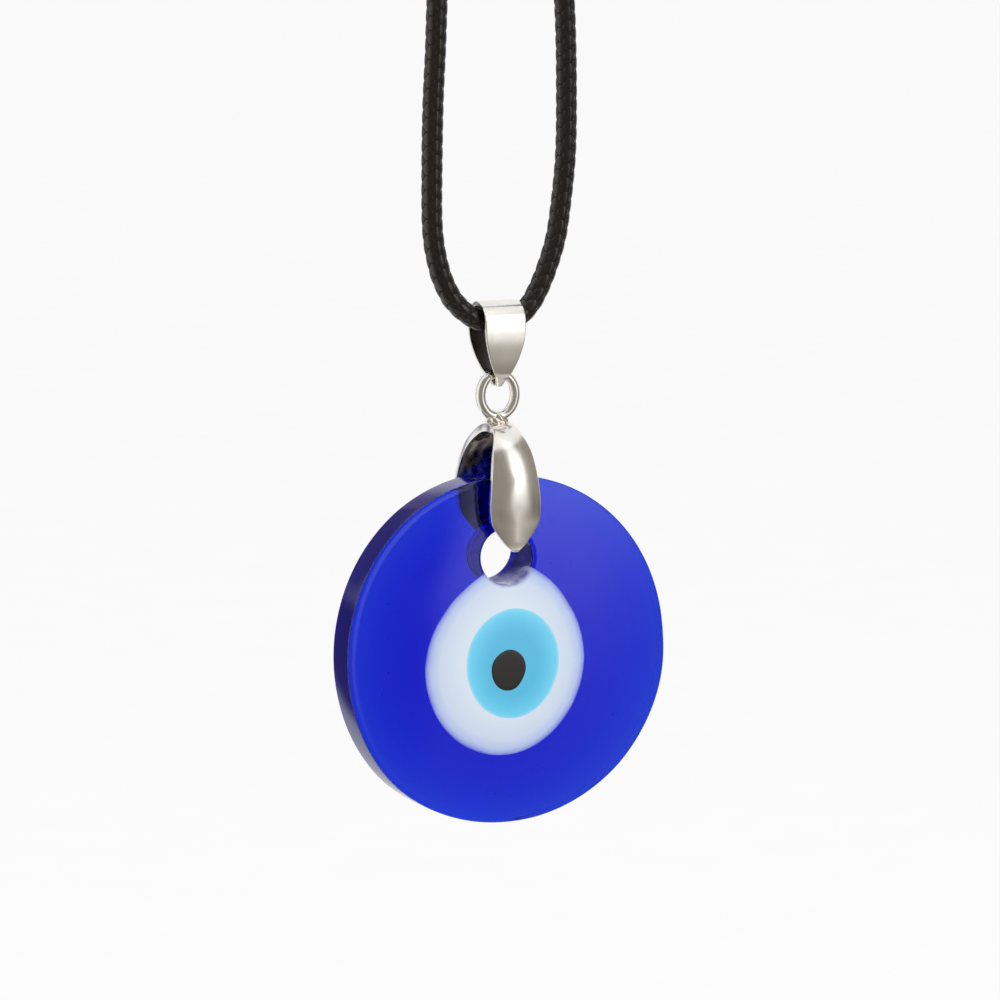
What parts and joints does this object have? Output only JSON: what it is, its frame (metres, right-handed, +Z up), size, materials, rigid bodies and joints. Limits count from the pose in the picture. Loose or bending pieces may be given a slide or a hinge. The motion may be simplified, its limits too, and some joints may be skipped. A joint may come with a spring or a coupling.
{
  "type": "evil eye ornament",
  "caption": "Round blue glass disc with a fused eye, hung by a pinch bail, a ring and a folded bail on a knotted cord.",
  "frame": {"origin": "the inside top of the cord's hanging eye, where a hook or nail holds the ornament", "axes": "+Z up along the hanging line, -Y the way the eye faces, +X to the viewer's right"},
  "size_m": [0.0332, 0.0096, 0.1261],
  "materials": {
    "waxed_cord": "braided, waxed, black, slightly shiny",
    "silver_plate": "bright silver plate, lightly scratched",
    "solder": "lumpy bright solder",
    "cobalt_glass": "polished cobalt blue glass, see-through at the edge",
    "white_glass": "opal white glass, fused and polished",
    "light_blue_glass": "opal light blue glass, fused and polished",
    "dark_glass": "near-black glass, fused and polished"
  },
  "bodies": {
    "cord": {"cord": "waxed_cord", "hanging_eye": "waxed_cord", "wrapped_knot": "waxed_cord", "upper_cord_tail": "waxed_cord", "lower_cord_tail": "waxed_cord"},
    "folded_bail": {"folded_bail": "silver_plate"},
    "pinch_bail": {"pinch_bail": "silver_plate", "front_prong": "silver_plate", "back_prong": "silver_plate", "bail_ring": "silver_plate", "ring_solder": "solder"},
    "glass": {"glass_disc": "cobalt_glass", "white_drop": "white_glass", "light_blue_drop": "light_blue_glass", "pupil_drop": "dark_glass"}
  },
  "joints": [
    {"name": "bail_swing", "type": "hinge", "parent": "cord", "child": "folded_bail", "pos_m": [0, 0, -0.0762], "axis": [1, 0, 0], "range_deg": [-90, 90]},
    {"name": "ring_swing", "type": "hinge", "parent": "folded_bail", "child": "pinch_bail", "pos_m": [0, 0, -0.08121], "axis": [1, 0, 0], "range_deg": [-75, 75]},
    {"name": "glass_swing", "type": "hinge", "parent": "pinch_bail", "child": "glass", "pos_m": [0, 0, -0.09637], "axis": [0, 1, 0], "range_deg": [-60, 60]}
  ]
}
